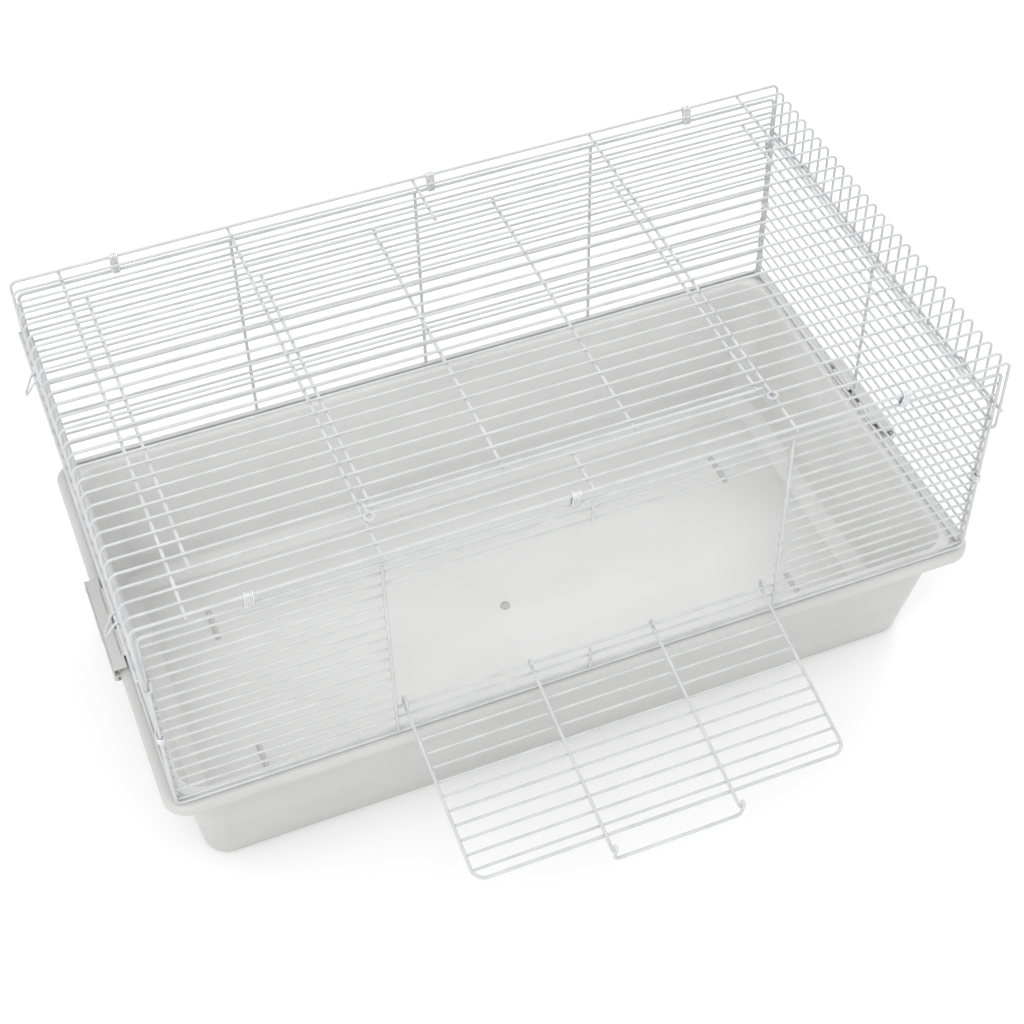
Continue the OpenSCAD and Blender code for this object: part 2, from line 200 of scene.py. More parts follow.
def helix(first, second, axis, radius, width, turns, steps=28):
    """A coil wound around two parallel wires, as long as width along the axis."""
    across = second - first
    along = across.normalized()
    side = axis.cross(along).normalized()
    straight_part, round_part = across.length, math.pi * radius
    lap = 2 * (straight_part + round_part)
    path = []
    count = int(turns * steps)
    for i in range(count + 1):
        s = (i / steps) % 1 * lap
        if s < straight_part:
            point = first + along * s + side * radius
        elif s < straight_part + round_part:
            a = (s - straight_part) / radius
            point = second + radius * (side * math.cos(a) + along * math.sin(a))
        elif s < 2 * straight_part + round_part:
            point = second - along * (s - straight_part - round_part) - side * radius
        else:
            a = (s - 2 * straight_part - round_part) / radius
            point = first - radius * (side * math.cos(a) + along * math.sin(a))
        path.append(point + axis * width * (i / count - 0.5))
    return path


# ---- meshes ----

class Shape:
    """Vertices and faces that become one piece."""

    def __init__(self):
        self.points = []
        self.faces = []
        self.lines = []

    def add(self, points, faces):
        base = len(self.points)
        self.points += [Vector(p) for p in points]
        self.faces += [[base + i for i in face] for face in faces]

    def wire(self, path, radius, closed=False, sides=WIRE_SIDES):
        """A round wire along the path. Its open ends are cut square with a small chamfer."""
        path = [Vector(p) for p in path]
        self.lines.append((path, radius, closed))
        count = len(path)
        tangents = []
        for i in range(count):
            ahead = path[(i + 1) % count] - path[i] if closed or i < count - 1 else Vector()
            back = path[i] - path[i - 1] if closed or i > 0 else Vector()
            tangents.append((ahead.normalized() + back.normalized()).normalized())
        normal = tangents[0].orthogonal().normalized()
        rings = []
        for i, (point, tangent) in enumerate(zip(path, tangents)):
            normal = (normal - tangent * normal.dot(tangent)).normalized()
            rings.append((point, tangent, normal, radius))
        if not closed:
            chamfer = 0.25 * radius
            for end, sign in ((0, 1), (-1, -1)):
                point, tangent, n, r = rings[end]
                inner = (point + sign * tangent * chamfer, tangent, n, r)
                outer = (point, tangent, n, r - chamfer)
                if end == 0:
                    rings[0:1] = [outer, inner]
                else:
                    rings[-1:] = [inner, outer]
        points = []
        for point, tangent, n, r in rings:
            side = tangent.cross(n)
            for k in range(sides):
                a = 2 * math.pi * k / sides
                points.append(point + r * (n * math.cos(a) + side * math.sin(a)))
        faces = []
        total = len(rings)
        for i in range(total if closed else total - 1):
            j = (i + 1) % total
            for k in range(sides):
                m = (k + 1) % sides
                faces.append((i * sides + k, i * sides + m, j * sides + m, j * sides + k))
        if not closed:
            faces.append(tuple(range(sides - 1, -1, -1)))
            faces.append(tuple((total - 1) * sides + k for k in range(sides)))
        self.add(points, faces)

    def straight_wires(self, boxes):
        """One straight wire for each box, along its longest side."""
        for low, high in boxes:
            size = high - low
            axis = max(range(3), key=lambda a: size[a])
            middle = (low + high) / 2
            start, end = middle.copy(), middle.copy()
            start[axis], end[axis] = low[axis], high[axis]
            radius = max(size[a] for a in range(3) if a != axis) / 2
            self.wire([start, end], radius)

    def solid(self, low, high, bevel, segments=3):
        """A block with rounded edges."""
        bm = bmesh.new()
        bmesh.ops.create_cube(bm, size=1)
        size = Vector(high) - Vector(low)
        middle = (Vector(low) + Vector(high)) / 2
        for v in bm.verts:
            v.co = Vector((v.co.x * size.x, v.co.y * size.y, v.co.z * size.z)) + middle
        bmesh.ops.bevel(bm, geom=bm.edges[:], offset=bevel, segments=segments, affect="EDGES", profile=0.5)
        self.add([v.co.copy() for v in bm.verts], [[v.index for v in f.verts] for f in bm.faces])
        bm.free()

    def turned(self, middle, axis, profile, sides=40):
        """A shape turned about an axis through middle, from pairs of distance along the axis and radius."""
        axis = Vector(axis).normalized()
        normal = axis.orthogonal().normalized()
        side = axis.cross(normal)
        points, faces = [], []
        for along, radius in profile:
            for k in range(sides):
                a = 2 * math.pi * k / sides
                points.append(middle + axis * along + radius * (normal * math.cos(a) + side * math.sin(a)))
        for i in range(len(profile) - 1):
            for k in range(sides):
                m = (k + 1) % sides
                faces.append((i * sides + k, i * sides + m, (i + 1) * sides + m, (i + 1) * sides + k))
        faces.append(tuple(range(sides - 1, -1, -1)))
        faces.append(tuple((len(profile) - 1) * sides + k for k in range(sides)))
        self.add(points, faces)

    def place(self, matrix):
        self.points = [matrix @ p for p in self.points]
        self.lines = [([matrix @ p for p in path], radius, closed) for path, radius, closed in self.lines]


wires_of = {}


def piece(name, shape, *nodes, smooth_angle=35):
    """Makes one piece that stands for the CAD nodes, on their body and with their material slot."""
    mesh = bpy.data.meshes.new(name)
    mesh.from_pydata([tuple(p) for p in shape.points], [], shape.faces)
    bm = bmesh.new()
    bm.from_mesh(mesh)
    bmesh.ops.recalc_face_normals(bm, faces=bm.faces)
    bm.to_mesh(mesh)
    bm.free()
    mesh.shade_smooth()
    mesh.set_sharp_from_angle(angle=math.radians(smooth_angle))
    mesh.materials.append(materials[slot_of[nodes[0]]])
    obj = bpy.data.objects.new(name, mesh)
    bpy.context.scene.collection.objects.link(obj)
    body = body_of[nodes[0]]
    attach(obj, body)
    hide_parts(*nodes)
    wires_of.setdefault(body, []).append((nodes[0], shape.lines))
    return obj


# ---- materials ----

class Nodes:
    """A short way to build a node material."""

    def __init__(self, name):
        self.material = bpy.data.materials.new(name)
        self.material.use_nodes = True
        self.tree = self.material.node_tree
        self.shader = self.tree.nodes["Principled BSDF"]
        self.coords = self.tree.nodes.new("ShaderNodeTexCoord").outputs["Object"]

    def noise(self, scale, detail=4, stretch=(1, 1, 1), roughness=0.5):
        mapping = self.tree.nodes.new("ShaderNodeMapping")
        mapping.inputs["Scale"].default_value = stretch
        self.tree.links.new(self.coords, mapping.inputs["Vector"])
        texture = self.tree.nodes.new("ShaderNodeTexNoise")
        texture.inputs["Scale"].default_value = scale
        texture.inputs["Detail"].default_value = detail
        texture.inputs["Roughness"].default_value = roughness
        self.tree.links.new(mapping.outputs["Vector"], texture.inputs["Vector"])
        return texture.outputs["Fac"]

    def shade(self, source, dark, light, low=0.3, high=0.7):
        ramp = self.tree.nodes.new("ShaderNodeValToRGB")
        ramp.color_ramp.elements[0].position = low
        ramp.color_ramp.elements[1].position = high
        ramp.color_ramp.elements[0].color = (*dark, 1)
        ramp.color_ramp.elements[1].color = (*light, 1)
        self.tree.links.new(source, ramp.inputs["Fac"])
        self.tree.links.new(ramp.outputs["Color"], self.shader.inputs["Base Color"])

    def gloss(self, source, low, high):
        span = self.tree.nodes.new("ShaderNodeMapRange")
        span.inputs["To Min"].default_value = low
        span.inputs["To Max"].default_value = high
        self.tree.links.new(source, span.inputs["Value"])
        self.tree.links.new(span.outputs["Result"], self.shader.inputs["Roughness"])

    def bump(self, source, strength, distance):
        node = self.tree.nodes.new("ShaderNodeBump")
        node.inputs["Strength"].default_value = strength
        node.inputs["Distance"].default_value = distance
        self.tree.links.new(source, node.inputs["Height"])
        self.tree.links.new(node.outputs["Normal"], self.shader.inputs["Normal"])

    def set(self, **values):
        for name, value in values.items():
            self.shader.inputs[name.replace("_", " ")].default_value = value


def wire_material():
    """Glossy powder coat, slightly uneven in tone and with a faint orange-peel surface."""
    m = Nodes("coated_wire")
    m.shade(m.noise(38, 5), (0.505, 0.51, 0.515), (0.60, 0.605, 0.61))
    m.gloss(m.noise(210, 3), 0.24, 0.42)
    m.bump(m.noise(900, 2), 0.12, 0.15 * MM)
    m.set(Coat_Weight=0.35, Coat_Roughness=0.15, Specular_IOR_Level=0.5)
    return m.material


def plastic_material(name, dark, light):
    """Moulded polypropylene with soft flow marks and a fine satin grain."""
    m = Nodes(name)
    m.shade(m.noise(5, 6, (1, 2.2, 3)), dark, light)
    m.gloss(m.noise(95, 4), 0.30, 0.46)
    m.bump(m.noise(1500, 3, roughness=0.6), 0.10, 0.12 * MM)
    m.set(Specular_IOR_Level=0.45, Subsurface_Weight=0.12, Subsurface_Scale=4 * MM)
    m.shader.inputs["Subsurface Radius"].default_value = (1.0, 0.95, 0.9)
    return m.material


def steel_material():
    """Drawn spring wire with fine marks along it."""
    m = Nodes("spring_wire")
    m.shade(m.noise(300, 5), (0.62, 0.63, 0.64), (0.80, 0.81, 0.82))
    m.gloss(m.noise(650, 3), 0.30, 0.48)
    m.bump(m.noise(1400, 2), 0.15, 0.08 * MM)
    m.set(Metallic=0.6)
    return m.material


materials = {
    "cage_wire": wire_material(),
    "tray_plastic": plastic_material("tray_plastic", (0.52, 0.52, 0.515), (0.57, 0.57, 0.565)),
    "clip_plastic": plastic_material("clip_plastic", (0.50, 0.50, 0.495), (0.56, 0.56, 0.555)),
    "spring_steel": steel_material(),
}
# a lighter copy of the tray plastic, painted light for the inside of the tray
tray_painted_light = plastic_material("tray_painted_light", (0.68, 0.68, 0.675), (0.73, 0.73, 0.725))


# ---- upright panels ----

def panel_border(node, flat_axis):
    """One closed wire with rounded corners, in the plane across flat_axis."""
    low, high = solids(node)[0]
    radius = (high[flat_axis] - low[flat_axis]) / 2
    level = (low[flat_axis] + high[flat_axis]) / 2
    a, b = [axis for axis in range(3) if axis != flat_axis]
    corners = []
    for at_a, at_b in ((low, low), (high, low), (high, high), (low, high)):
        corner = Vector()
        corner[flat_axis] = level
        corner[a] = at_a[a] + (radius if at_a is low else -radius)
        corner[b] = at_b[b] + (radius if at_b is low else -radius)
        corners.append(corner)
    shape = Shape()
    shape.wire(fillet(corners, BORDER_CORNER, closed=True), radius, closed=True)
    piece(node, shape, node)
    return corners, radius


front_corners, frame_r = panel_border("front_border", 1)
back_corners, _ = panel_border("back_border", 1)
left_corners, _ = panel_border("left_border", 0)
right_corners, _ = panel_border("right_border", 0)

straight_nodes = (
    "front_bars", "front_uprights", "door_hinge_wire", "back_bars", "back_uprights",
    "left_bars", "left_upright", "right_bars", "right_upright",
    "roof_cross_wires", "roof_end_ties", "hatch_hinge_wire",
    "hatch_border", "hatch_bars", "hatch_side_wires",
)
for node in straight_nodes:
    shape = Shape()
    shape.straight_wires(solids(node))
    piece(node, shape, node)


# ---- roof ----

def roof_line(box, radius):
    """Corners of a roof wire that turns down at one end or at both."""
    low, high = box
    y, top = (low.y + high.y) / 2, high.z - radius
    corners = []
    if low.x < 0:
        corners += [Vector((low.x + radius, y, low.z)), Vector((low.x + radius, y, top))]
    else:
        corners += [Vector((low.x, y, top))]
    if high.x > 0:
        corners += [Vector((high.x - radius, y, top)), Vector((high.x - radius, y, low.z))]
    else:
        corners += [Vector((high.x, y, top))]
    return corners


shape = Shape()
for box in solids("roof_bars"):
    bar_r = (box[1].y - box[0].y) / 2
    shape.wire(fillet(roof_line(box, bar_r), ROOF_BEND), bar_r)
piece("roof_bars", shape, "roof_bars")

# The two edge wires end in an upturned hook below each roof end
shape = Shape()
edge_lines = []
for box in solids("roof_edge_wires"):
    edge_r = (box[1].y - box[0].y) / 2
    corners = roof_line(box, edge_r)
    edge_lines.append((corners[1], edge_r))
    tips = []
    for leg in (corners[0], corners[-1]):
        leg.z += edge_r
        inward = Vector((-math.copysign(2 * EDGE_HOOK_RADIUS, leg.x), 0, 0))
        tips.append([leg + inward, leg + inward + Vector((0, 0, EDGE_HOOK_RADIUS + EDGE_HOOK_RISE))])
    line = [tips[0][1], tips[0][0], *corners, tips[1][0], tips[1][1]]
    hook = [0, EDGE_HOOK_RADIUS, EDGE_HOOK_RADIUS]
    radii = hook + [ROOF_BEND, ROOF_BEND] + hook[::-1]
    shape.wire(fillet(line, radii), edge_r)
piece("roof_edge_wires", shape, "roof_edge_wires")

# V-shaped finger loops that hang from the tie wires, with their ends curled in over the wire
shape = Shape()
for low, high in solids("end_clips"):
    out = math.copysign(1, low.x + high.x)
    near, far = (low.x, high.x) if out > 0 else (high.x, low.x)
    inner_x, outer_x = near + out * 1.1 * END_CLIP_R, far - out * END_CLIP_R
    y, tip_z, top_z = (low.y + high.y) / 2, low.z + END_CLIP_R, high.z - END_CLIP_R
    curl = Vector((-out * 5 * MM, 0, 2 * MM))
    left = Vector((inner_x, low.y + END_CLIP_R, top_z))
    right = Vector((inner_x, high.y - END_CLIP_R, top_z))
    line = [
        left + curl, left, Vector((outer_x, y - END_CLIP_TIP, tip_z)),
        Vector((outer_x, y + END_CLIP_TIP, tip_z)), right, right + curl,
    ]
    shape.wire(fillet(line, [0, 1.6 * MM, 2 * MM, 2 * MM, 1.6 * MM, 0]), END_CLIP_R, sides=12)
piece("end_clips", shape, "end_clips")


# ---- spring clips: a few turns of wire around two neighbours ----

coil_reach = frame_r + COIL_R + COIL_GAP


def coil(shape, first, second, axis, width):
    shape.wire(helix(first, second, Vector(axis), coil_reach, width, COIL_TURNS), COIL_R, sides=10)


shape = Shape()
for box in solids("roof_clips"):
    middle = centre(box)
    corners = front_corners if middle.y < 0 else back_corners
    lower = Vector((middle.x, corners[2].y, corners[2].z))
    edge = min(edge_lines, key=lambda line: abs(line[0].y - middle.y))[0]
    upper = Vector((middle.x, edge.y, edge.z))
    coil(shape, lower, upper, (1, 0, 0), box[1].x - box[0].x)
piece("roof_clips", shape, "roof_clips")

shape = Shape()
for box in solids("corner_clips"):
    middle = centre(box)
    long_wire = (front_corners if middle.y < 0 else back_corners)[0 if middle.x < 0 else 1]
    end_wire = (left_corners if middle.x < 0 else right_corners)[0 if middle.y < 0 else 1]
    first = Vector((long_wire.x, long_wire.y, middle.z))
    second = Vector((end_wire.x, end_wire.y, middle.z))
    coil(shape, first, second, (0, 0, 1), box[1].z - box[0].z)
piece("corner_clips", shape, "corner_clips")


# ---- roof hatch ----

hatch_pin = Vector(joints["hatch_hinge"]["pos_m"])
low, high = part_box("hatch_hinge_hooks")
side_low, side_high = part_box("hatch_side_wires")
hook_r = high.y - hatch_pin.y - frame_r
cross_z = (side_low.z + side_high.z) / 2
meet = math.degrees(math.asin((hatch_pin.z - cross_z) / hook_r))
shape = Shape()
for x in (low.x + frame_r, high.x - frame_r):
    pin = Vector((x, hatch_pin.y, hatch_pin.z))
    line = [Vector((x, low.y, cross_z))] + arc(pin, hook_r, 180 + meet, HOOK_SWEEP - meet, 24)
    shape.wire(line, frame_r)
piece("hatch_hinge_hooks", shape, "hatch_hinge_hooks")

shape = Shape()
for low, high in solids("hatch_loops"):
    ring_r = (high.x - low.x) / 2 - LOOP_R
    x, z = (low.x + high.x) / 2, (low.z + high.z) / 2
    middle = Vector((x, low.y + LOOP_R + ring_r, z))
    line = [Vector((x, high.y, z))]
    for i in range(25):
        a = math.radians(90 + LOOP_SWEEP * i / 24)
        line.append(middle + ring_r * Vector((math.cos(a), math.sin(a), 0)))
    shape.wire(line, LOOP_R)
piece("hatch_loops", shape, "hatch_loops")


# ---- front door, built upright about its hinge wire and then placed open ----

door_pin = Vector(joints["door_hinge"]["pos_m"])
door_turn = math.radians(joints["door_hinge"]["range_deg"][1])
door_place = Matrix.Translation(door_pin) @ Matrix.Rotation(door_turn, 4, "X")

low, high = solids("door_frame", door_place)[0]
door_x, door_y, door_top = high.x - frame_r, (low.y + high.y) / 2, high.z - frame_r
left_hook = arc(Vector((-door_x, 0, 0)), -door_y, 180, HOOK_SWEEP, 26)
right_hook = arc(Vector((door_x, 0, 0)), -door_y, 180, HOOK_SWEEP, 26)
corners = [
    Vector((-door_x, door_y, LEG_START)), Vector((-door_x, door_y, door_top)),
    Vector((door_x, door_y, door_top)), Vector((door_x, door_y, LEG_START)),
]
shape = Shape()
shape.wire(left_hook[::-1] + fillet(corners, DOOR_CORNER, steps=12) + right_hook, frame_r)
shape.place(door_place)
piece("door_frame", shape, "door_frame")

shape = Shape()
shape.straight_wires(solids("door_bars", door_place))
shape.place(door_place)
piece("door_bars", shape, "door_bars")

# One long wire: both inner wires with their hinge hooks, the catches and the handle
hooks = solids("door_hooks", door_place)
inner_hooks = [box for box in hooks if abs(centre(box).x) < 0.6 * door_x]
low, high = solids("door_latch_wire", door_place)[0]
inner_left, inner_right = centre(inner_hooks[0]).x, centre(inner_hooks[-1]).x
leg_y = inner_hooks[0][0].y + frame_r
top_z, tip_y, handle_y = high.z - frame_r, high.y - frame_r, low.y + frame_r
catch_z = top_z - 2 * CATCH_TURN
turns = [0, CATCH_BEND, CATCH_TURN, CATCH_TURN, HANDLE_CORNER]
legs = []
for x in (inner_left, inner_right):
    legs.append([
        Vector((x, leg_y, LEG_START)), Vector((x, leg_y, catch_z)), Vector((x, tip_y, catch_z)),
        Vector((x, tip_y, top_z)), Vector((x, handle_y, top_z)),
    ])
corners = legs[0] + legs[1][::-1]
shape = Shape()
path = arc(Vector((inner_left, 0, 0)), -leg_y, 180, HOOK_SWEEP, 24)[::-1]
path += fillet(corners, turns + turns[::-1], steps=9)
path += arc(Vector((inner_right, 0, 0)), -leg_y, 180, HOOK_SWEEP, 24)
shape.wire(path, frame_r)
shape.place(door_place)
piece("door_latch_wire", shape, "door_latch_wire", "door_hooks")


# ---- welds: a small bead where two wires of one body cross ----

def bead_template():
    bm = bmesh.new()
    bmesh.ops.create_icosphere(bm, subdivisions=2, radius=1)
    points = [v.co.copy() for v in bm.verts]
    faces = [[v.index for v in f.verts] for f in bm.faces]
    bm.free()
    return points, faces


def near_points(p, u, q, v):
    """Shares along the lines p + s u and q + t v where they come closest.

    None if the lines are less than 45 degrees from parallel.
    """
    w = p - q
    a, b, c, d, e = u.dot(u), u.dot(v), v.dot(v), u.dot(w), v.dot(w)
    det = a * c - b * b
    if det < 0.5 * a * c:
        return None
    return (b * e - c * d) / det, (a * e - b * d) / det


def welds(body):
    """Beads at the crossings of the body's straight wire lengths."""
    points, faces = bead_template()
    shape = Shape()
    lengths = []
    for node, lines in wires_of[body]:
        if slot_of[node] != "cage_wire" or node == "end_clips":
            continue
        for path, radius, closed in lines:
            ends = path[1:] + path[:1] if closed else path[1:]
            for p, q in zip(path, ends):
                if (q - p).length > SHORTEST_LENGTH:
                    lengths.append((node, p, q - p, radius))
    for i, (node, p, u, r) in enumerate(lengths):
        for other, q, v, s in lengths[i + 1:]:
            if other == node:
                continue
            found = near_points(p, u, q, v)
            if not found or not all(-0.02 < share < 1.02 for share in found):
                continue
            on_first, on_second = p + u * found[0], q + v * found[1]
            gap = (on_first - on_second).length
            if 0.5 * (r + s) < gap < r + s + WELD_REACH:
                middle = on_first + (on_second - on_first) * (r / (r + s))
                size = BEAD_SHARE * min(r, s)
                shape.add([middle + size * point for point in points], faces)
    return shape


for body, node in (("cage", "front_bars"), ("roof_hatch", "hatch_bars"), ("front_door", "door_bars")):
    piece("welds_" + body, welds(body), node, smooth_angle=80)


# ---- tray ----

low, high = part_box("tray")
rim_z = high.z
cavity = Vector((high.x - RIM_WIDTH, high.y - RIM_WIDTH, 0))
outer_top = rim_z - TRAY_WALL
long_recess = (cavity.x - LONG_MARGIN, 0.30 * rim_z)
end_recess = (cavity.y - END_MARGIN, 0.30 * rim_z)
floor_reach = cavity.y - 60 * MM


def tray_ring(grow, z, corner=RIM_CORNER):
    """Points around the tray at one height, starting on the front side.

    grow is the distance beyond the cavity edge, or a pair: for the ends and for the long sides.
    """
    grow_x, grow_y = grow if isinstance(grow, tuple) else (grow, grow)
    hx, hy = cavity.x + grow_x, cavity.y + grow_y
    tx, ty = hx - corner, hy - corner
    sides = (
        ((-tx, -hy), (tx, -hy), COLUMNS_LONG, (tx, -ty), -90),
        ((hx, -ty), (hx, ty), COLUMNS_SHORT, (tx, ty), 0),
        ((tx, hy), (-tx, hy), COLUMNS_LONG, (-tx, ty), 90),
        ((-hx, ty), (-hx, -ty), COLUMNS_SHORT, (-tx, -ty), 180),
    )
    points = []
    for start, end, count, turn, angle in sides:
        first, last = Vector((*start, z)), Vector((*end, z))
        points += [first.lerp(last, i / count) for i in range(count)]
        for i in range(COLUMNS_CORNER):
            a = math.radians(angle + 90 * i / COLUMNS_CORNER)
            points.append(Vector((turn[0] + corner * math.cos(a), turn[1] + corner * math.sin(a), z)))
    return points


def recess(u, v, half):
    """How far a point is inside the sunken panel, from 0 outside to 1 inside."""
    du, dv = abs(u) - half[0] + RECESS_CORNER, abs(v) - half[1] + RECESS_CORNER
    outside = math.hypot(max(du, 0), max(dv, 0)) + min(max(du, dv), 0) - RECESS_CORNER
    t = min(max(0.5 - outside / RECESS_EDGE, 0), 1)
    return t * t * (3 - 2 * t)


def sunk(ring):
    """Moves the wall points of a ring inwards where the sunken panels are."""
    moved = []
    for p in ring:
        v = p.z - 0.5 * rim_z
        if abs(p.x) < long_recess[0] + RECESS_FADE:
            depth = RECESS_DEPTH * recess(p.x, v, long_recess)
            p = p - Vector((0, math.copysign(depth, p.y), 0))
        elif abs(p.y) < end_recess[0] + RECESS_FADE:
            depth = RECESS_DEPTH * recess(p.y, v, end_recess)
            p = p - Vector((math.copysign(depth, p.x), 0, 0))
        moved.append(p)
    return moved


def wall_grow(z, outer):
    """How far the end walls and the long walls stand beyond the cavity edge at a height."""
    rise = rim_z - TRAY_WALL - FOOT_ROUND
    base = FOOT_ROUND if outer else TRAY_WALL + FOOT_ROUND
    share = 1 - min((z - base) / rise, 1)
    skin = TRAY_WALL if outer else 0
    return skin - END_LEAN * share, skin - WALL_LEAN * share


def inset(grow, step):
    return grow[0] - step, grow[1] - step


def outer_rings():
    """The underside with a slightly raised middle, from the middle outwards, then up the outer wall."""
    rings = []
    foot = wall_grow(FOOT_ROUND, True)
    for share in FLOOR_SHARES:
        level = 0 if share < 0.1 else 1 * MM
        rings.append(tray_ring(inset(foot, FOOT_ROUND + share * floor_reach), level, FLOOR_CORNER))
    for i in range(7):
        a = math.radians(90 * i / 6)
        step, z = FOOT_ROUND * (1 - math.sin(a)), FOOT_ROUND * (1 - math.cos(a))
        rings.append(tray_ring(inset(foot, step), z))
    for i in range(1, WALL_ROWS + 1):
        z = FOOT_ROUND + (outer_top - 2 * MM - FOOT_ROUND) * i / WALL_ROWS
        rings.append(sunk(tray_ring(wall_grow(z, True), z)))
    return rings


def rim_line():
    """Distance beyond the cavity edge and height: under the rim, round the lip and over the top."""
    lip_in, lip_foot = RIM_WIDTH - TRAY_WALL, rim_z - RIM_LIP
    line = [
        (TRAY_WALL + 1.5 * MM, outer_top), (lip_in - 2 * MM, outer_top), (lip_in, outer_top - 2 * MM),
        (lip_in, lip_foot + 1.2 * MM), (lip_in + 0.5 * MM, lip_foot + 0.3 * MM),
        (lip_in + 1.5 * MM, lip_foot), (RIM_WIDTH - 0.5 * MM, lip_foot + 0.3 * MM),
        (RIM_WIDTH, lip_foot + 1.2 * MM),
    ]
    for i in range(7):
        a = math.radians(90 * i / 6)
        line.append((RIM_WIDTH - RIM_ROUND * (1 - math.cos(a)), rim_z - RIM_ROUND * (1 - math.sin(a))))
    for grow, drop in ((14, 0.1), (9, 0.5), (6, 0.6), (3, 0.6), (1.4, 0.9), (0.4, 1.7), (0, 3)):
        line.append((grow * MM, rim_z - drop * MM))
    return line


def inner_rings():
    """Down the inner wall, over the bevel at the floor edge and in over the floor."""
    rings = []
    top = rim_z - 5 * MM
    for i in range(WALL_ROWS + 1):
        z = top + (BEVEL_TOP + 3 * MM - top) * i / WALL_ROWS
        rings.append(sunk(tray_ring(wall_grow(z, False), z)))
    edge = wall_grow(BEVEL_TOP, False)
    bevel = (
        (0.6 * MM, BEVEL_TOP + 0.8 * MM), (2 * MM, BEVEL_TOP - 1 * MM),
        (BEVEL_REACH - 3 * MM, TRAY_WALL + 2 * MM), (BEVEL_REACH - 1.4 * MM, TRAY_WALL + 0.9 * MM),
        (BEVEL_REACH, TRAY_WALL - 0.5 * MM), (BEVEL_REACH + 2 * MM, TRAY_WALL - 0.6 * MM),
        (BEVEL_REACH + 3.6 * MM, TRAY_WALL),
    )
    for step, z in bevel:
        rings.append(tray_ring(inset(edge, step), z, RIM_CORNER - 8 * MM))
    for share in FLOOR_SHARES[::-1]:
        step = BEVEL_REACH + 4 * MM + share * floor_reach
        rings.append(tray_ring(inset(edge, step), TRAY_WALL, FLOOR_CORNER))
    return rings


rings = outer_rings() + [tray_ring(grow, z) for grow, z in rim_line()]
rim_rings = len(rings)
rings += inner_rings()

shape = Shape()
around = len(rings[0])
faces = []
for i in range(len(rings) - 1):
    for k in range(around):
        m = (k + 1) % around
        faces.append((i * around + k, i * around + m, (i + 1) * around + m, (i + 1) * around + k))
faces.append(tuple(range(around - 1, -1, -1)))
faces.append(tuple((len(rings) - 1) * around + k for k in range(around)))
shape.add([p for ring in rings for p in ring], faces)

# filling boss with a dimple, and four soft ribs on the floor
shape.turned(Vector((0, 0, TRAY_WALL)), (0, 0, 1), [
    (-0.5 * MM, 6.2 * MM), (1.4 * MM, 6 * MM), (2.1 * MM, 5.6 * MM), (2.3 * MM, 5 * MM),
    (2.2 * MM, 4.2 * MM), (0.4 * MM, 3.4 * MM), (0.3 * MM, 1.4 * MM), (1 * MM, 0.9 * MM)])
for sx in (-1, 1):
    for sy in (-1, 1):
        low = Vector((sx * RIB_X - RIB_HALF[0], sy * RIB_Y - RIB_HALF[1], TRAY_WALL - 2 * MM))
        high = Vector((sx * RIB_X + RIB_HALF[0], sy * RIB_Y + RIB_HALF[1], TRAY_WALL + 3 * MM))
        shape.solid(low, high, 1.6 * MM)
tray = piece("tray", shape, "tray")

# The inner edge of the rim, the inner walls and the floor get a lighter copy of the plastic. It is painted light
# that offsets
#  the shade inside the tray and under the wires, and the ribs and the boss keep the plain plastic. The last face
#  of the loft is followed by the cap of the underside and then by the one of the floor.
tray.data.materials.append(tray_painted_light)
painted_light_faces = range((rim_rings - 6) * around, (len(rings) - 1) * around)
floor_cap = painted_light_faces.stop + 1
for face in tray.data.polygons:
    face.material_index = 1 if face.index in painted_light_faces or face.index == floor_cap else 0


# ---- clips on the tray ends ----

def tray_clip(reach, nose_end, top):
    """A clip about its pivot, with its outer face towards +X."""
    shape = Shape()
    half = reach - PIN_REACH
    pin = [(-reach, 1.6 * MM), (-reach + 0.4 * MM, 2 * MM), (-half, 2 * MM), (-half, 3 * MM)]
    pin += [(-half + 0.5 * MM, 3.4 * MM)]
    shape.turned(Vector(), (0, 1, 0), pin + [(-along, radius) for along, radius in reversed(pin)], 28)
    # outer plate with grip ridges, an ear over each lug, and a cover over the rim
    shape.solid((0.4 * MM, -half, -0.5 * MM), (3.4 * MM, half, top), 1.4 * MM, 4)
    for level in (2, 4.5, 7):
        shape.solid((2.8 * MM, -18 * MM, level * MM), (3.8 * MM, 18 * MM, (level + 1.1) * MM), 0.45 * MM, 2)
    for s in (-1, 1):
        y = s * (half + 3 * MM)
        shape.solid((1.2 * MM, y - 4 * MM, 4.6 * MM), (3.2 * MM, y + 4 * MM, top), 0.9 * MM, 3)
    cover_edge = nose_end + 5 * MM
    cover_half = reach - 0.3 * MM
    shape.solid((cover_edge, -cover_half, top - COVER_DEPTH), (3 * MM, cover_half, top), 1 * MM, 4)
    # the two noses that hold the lowest wire, each with two ribs below the cover
    for s in (-1, 1):
        y = s * NOSE_Y
        nose_low = (nose_end, y - NOSE_HALF, top - COVER_DEPTH)
        shape.solid(nose_low, (cover_edge + 3 * MM, y + NOSE_HALF, top), 0.8 * MM)
        for rib in (y - 14 * MM, y + 14 * MM):
            rib_low = (-2.2 * MM, rib - 0.9 * MM, 2 * MM)
            shape.solid(rib_low, (0.8 * MM, rib + 0.9 * MM, top - 1.6 * MM), 0.4 * MM)
    return shape


def clip_lugs(reach):
    """The two bearing lugs of a clip, about its pivot."""
    shape = Shape()
    ring = [(-LUG_HALF, 2.3 * MM), (-LUG_HALF, 3.4 * MM), (-2.5 * MM, LUG_R)]
    ring += [(-along, radius) for along, radius in reversed(ring)]
    for s in (-1, 1):
        y = s * (reach - PIN_REACH + LUG_MIDDLE)
        shape.turned(Vector((0, y, 0)), (0, 1, 0), ring, 28)
        shape.solid((-4.6 * MM, y - LUG_HALF, -LUG_R), (0, y + LUG_HALF, LUG_R), 0.5 * MM)
    return shape


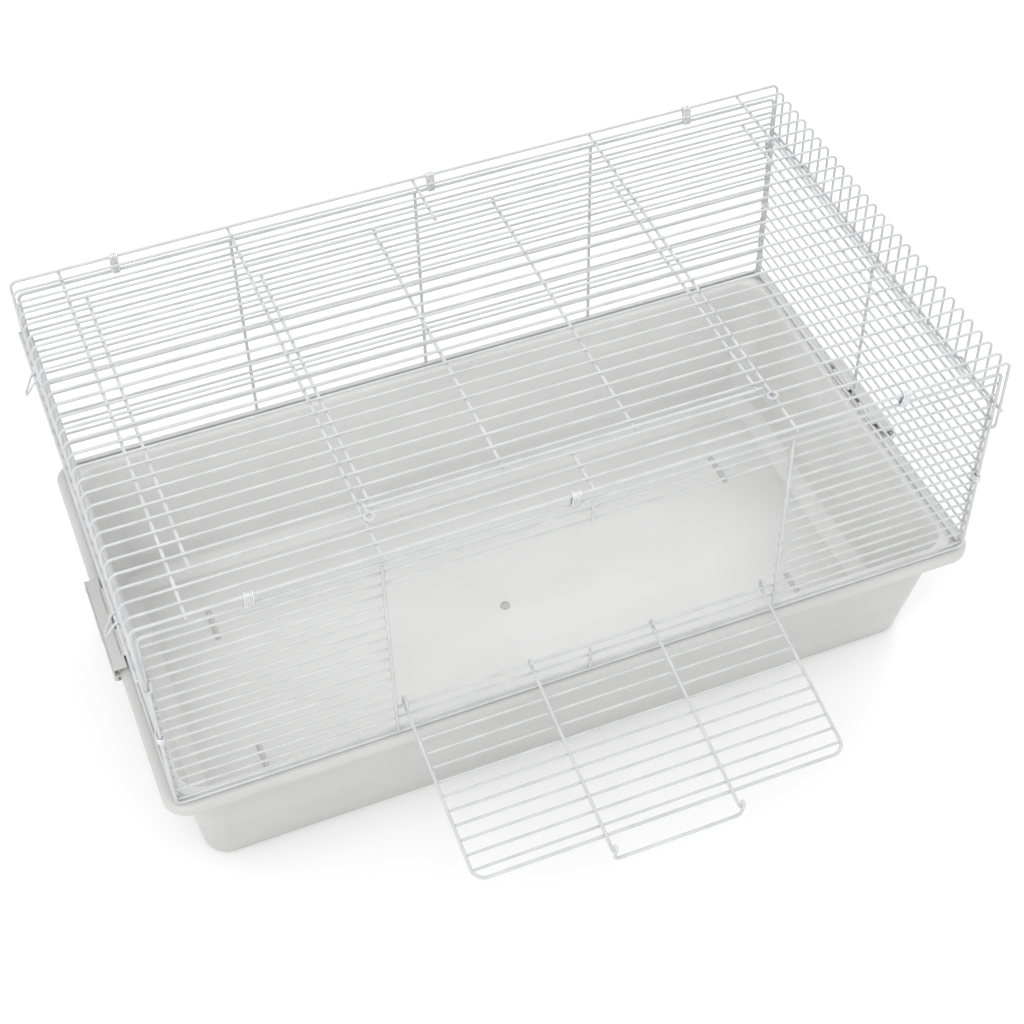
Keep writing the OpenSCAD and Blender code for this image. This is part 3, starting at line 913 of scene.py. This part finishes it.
for side, end in ((-1, "left"), (1, "right")):
    pivot = Vector(joints[end + "_clip_pivot"]["pos_m"])
    place = Matrix.Translation(pivot) @ Matrix.Scale(side, 4, (1, 0, 0))
    low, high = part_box("tray_clip_" + end)
    nose_end = (low.x if side > 0 else -high.x) - abs(pivot.x)
    shapes = (
        ("tray_clip_" + end, tray_clip(high.y, nose_end, high.z - pivot.z)),
        ("clip_lugs_" + end, clip_lugs(high.y)),
    )
    for node, shape in shapes:
        shape.place(place)
        piece(node, shape, node)


# ---- studio ----

PAPER_HALF = 30
paper_corners = [(x * PAPER_HALF, y * PAPER_HALF, 0) for x, y in ((-1, -1), (1, -1), (1, 1), (-1, 1))]
floor_mesh = bpy.data.meshes.new("floor")
floor_mesh.from_pydata(paper_corners, [], [(0, 1, 2, 3)])
floor = bpy.data.objects.new("floor", floor_mesh)
bpy.context.scene.collection.objects.link(floor)
paper = Nodes("paper")
paper.shade(paper.noise(3, 2), (0.93, 0.93, 0.93), (0.95, 0.95, 0.95))
paper.set(Roughness=0.9, Specular_IOR_Level=0.1)
floor_mesh.materials.append(paper.material)

world = bpy.data.worlds.new("studio")
bpy.context.scene.world = world
world.use_nodes = True
world.node_tree.nodes["Background"].inputs["Color"].default_value = (1, 1, 1, 1)
world.node_tree.nodes["Background"].inputs["Strength"].default_value = 1.0


def soft_light(name, place, aim, size, power):
    light = bpy.data.lights.new(name, "AREA")
    light.shape = "SQUARE"
    light.size = size
    light.energy = power
    obj = bpy.data.objects.new(name, light)
    bpy.context.scene.collection.objects.link(obj)
    obj.location = place
    obj.rotation_euler = (Vector(aim) - Vector(place)).to_track_quat("-Z", "Y").to_euler()


soft_light("key", (-1.2, -1.6, 3.2), (0, 0, 0.2), 2.6, 45)
soft_light("rim", (1.8, 2.0, 2.4), (0, 0, 0.3), 2.0, 22)

# ---- camera: above the front left corner, looking down to the back right ----

CAMERA_PLACE = Vector((-0.5320, -1.4402, 1.8615))
CAMERA_FORWARD = Vector((0.23857, 0.63161, -0.73767))
CAMERA_RIGHT = Vector((0.92889, -0.36999, -0.01639))

camera_data = bpy.data.cameras.new("camera")
camera_data.sensor_width = 36
camera_data.lens = 68.24
camera_data.shift_x = 0.0003
camera_data.shift_y = -0.0053
camera_data.clip_end = 100
camera = bpy.data.objects.new("camera", camera_data)
bpy.context.scene.collection.objects.link(camera)
forward = CAMERA_FORWARD.normalized()
right = (CAMERA_RIGHT - forward * CAMERA_RIGHT.dot(forward)).normalized()
turn = Matrix((right, right.cross(forward), -forward)).transposed()
camera.matrix_world = Matrix.Translation(CAMERA_PLACE) @ turn.to_4x4()
bpy.context.scene.camera = camera
bpy.context.scene.view_settings.view_transform = "Standard"
